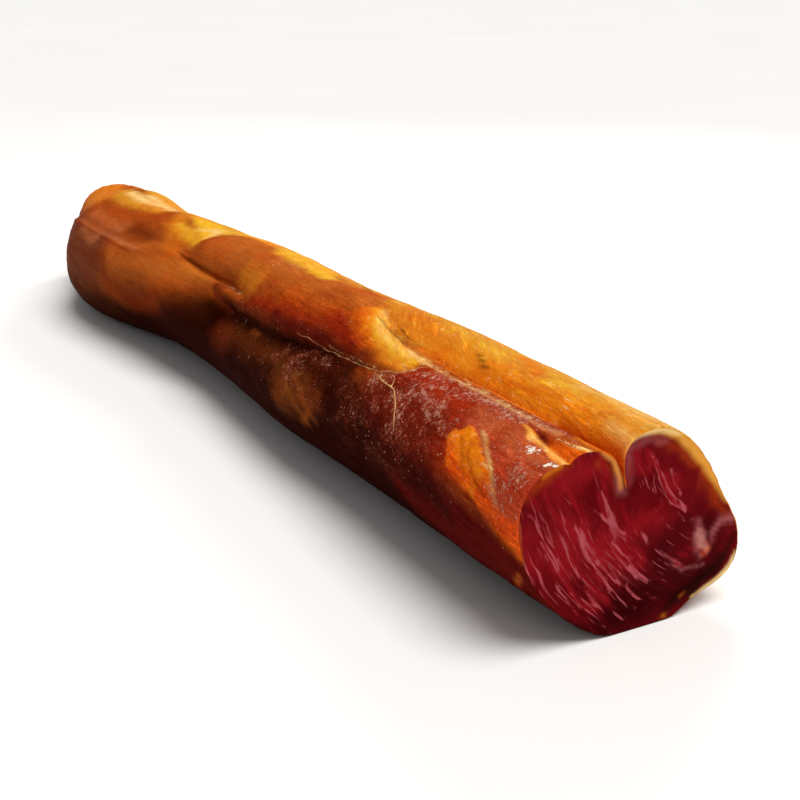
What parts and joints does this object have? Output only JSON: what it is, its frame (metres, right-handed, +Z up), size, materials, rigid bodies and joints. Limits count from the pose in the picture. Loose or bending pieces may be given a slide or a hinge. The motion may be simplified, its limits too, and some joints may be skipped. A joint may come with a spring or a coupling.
{
  "type": "cured pork loin",
  "caption": "Whole cured pork loin lying on its side, with one end cut flat to show the marbled meat and the other end closed and rounded.",
  "frame": {"origin": "under the middle of the bounding box, on the surface that the loin lies on", "axes": "+X along the loin from the closed tip towards the cut face, +Y towards the smooth golden back roll, +Z up"},
  "size_m": [0.457, 0.0786, 0.057],
  "materials": {
    "skin": "satin amber to maroon cured skin, slightly translucent, with pale bloom",
    "cut_meat": "moist satin crimson meat with pink fat marbling"
  },
  "bodies": {
    "root": {"cured_loin": "skin"}
  },
  "joints": []
}
